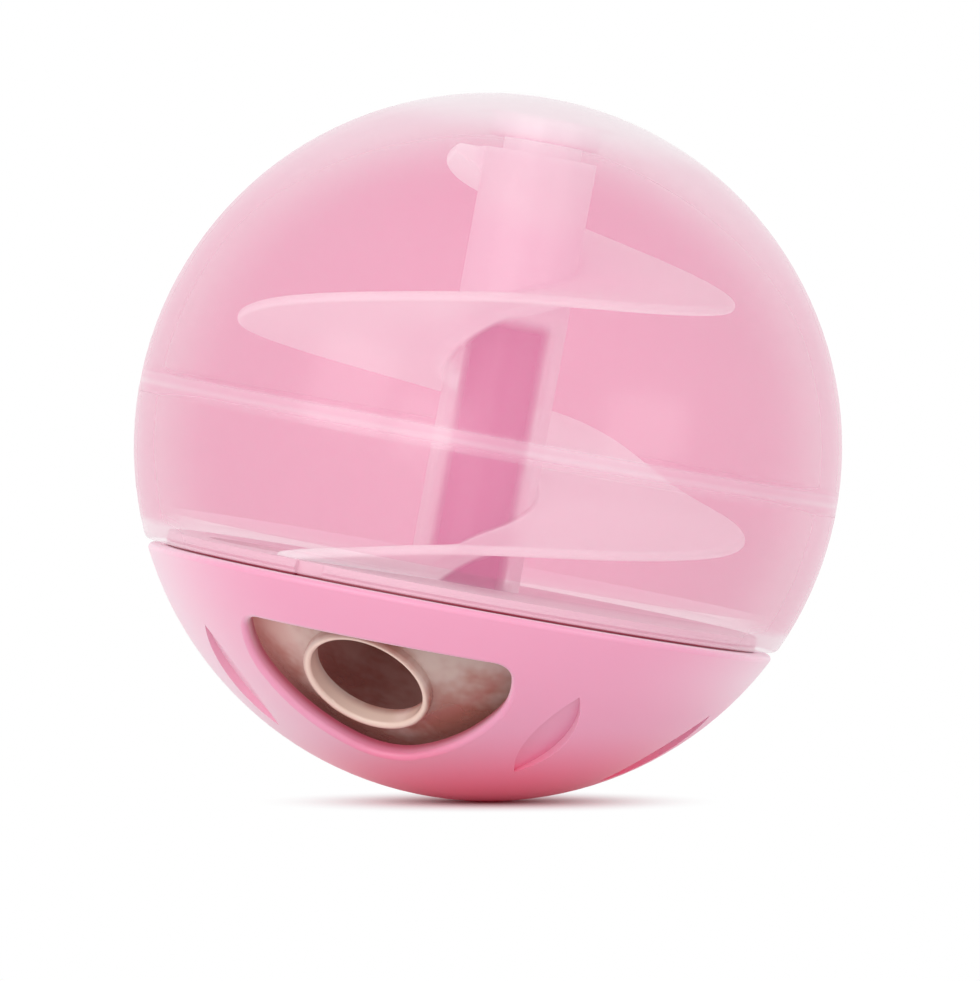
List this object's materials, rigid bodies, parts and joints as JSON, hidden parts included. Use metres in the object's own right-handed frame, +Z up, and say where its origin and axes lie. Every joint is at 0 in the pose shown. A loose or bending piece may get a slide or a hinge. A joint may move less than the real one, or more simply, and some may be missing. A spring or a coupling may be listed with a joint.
{
  "type": "treat ball",
  "caption": "Translucent pet toy ball with an inner spiral ramp that drops treats into a clear cup, which lets them out through a rimmed round hole behind a half-moon window.",
  "frame": {"origin": "centre of the ball", "axes": "+Z up along the column and the axis that the halves turn about, -Y towards the front, where the window and the outlet are, +X to the right as seen from the front"},
  "size_m": [0.09, 0.09, 0.09],
  "materials": {
    "tinted_shell": "gloss, translucent",
    "pale_moulding": "satin, translucent",
    "floor_moulding": "satin, translucent",
    "clear_cup": "gloss, clear",
    "pink_shell": "satin"
  },
  "bodies": {
    "base": {"lower_shell": "pink_shell"},
    "feeder": {"tray": "floor_moulding", "spiral_ramp": "pale_moulding", "selector_bowl": "clear_cup"},
    "cover": {"dome": "tinted_shell", "belt": "tinted_shell"}
  },
  "joints": [
    {"name": "selector_turn", "type": "hinge", "parent": "base", "child": "feeder", "pos_m": [0, 0, -0.02], "axis": [0, 0, 1], "continuous": true},
    {"name": "dome_lift", "type": "slide", "parent": "feeder", "child": "cover", "axis": [0, 0, 1], "range_m": [0, 0.065]}
  ]
}
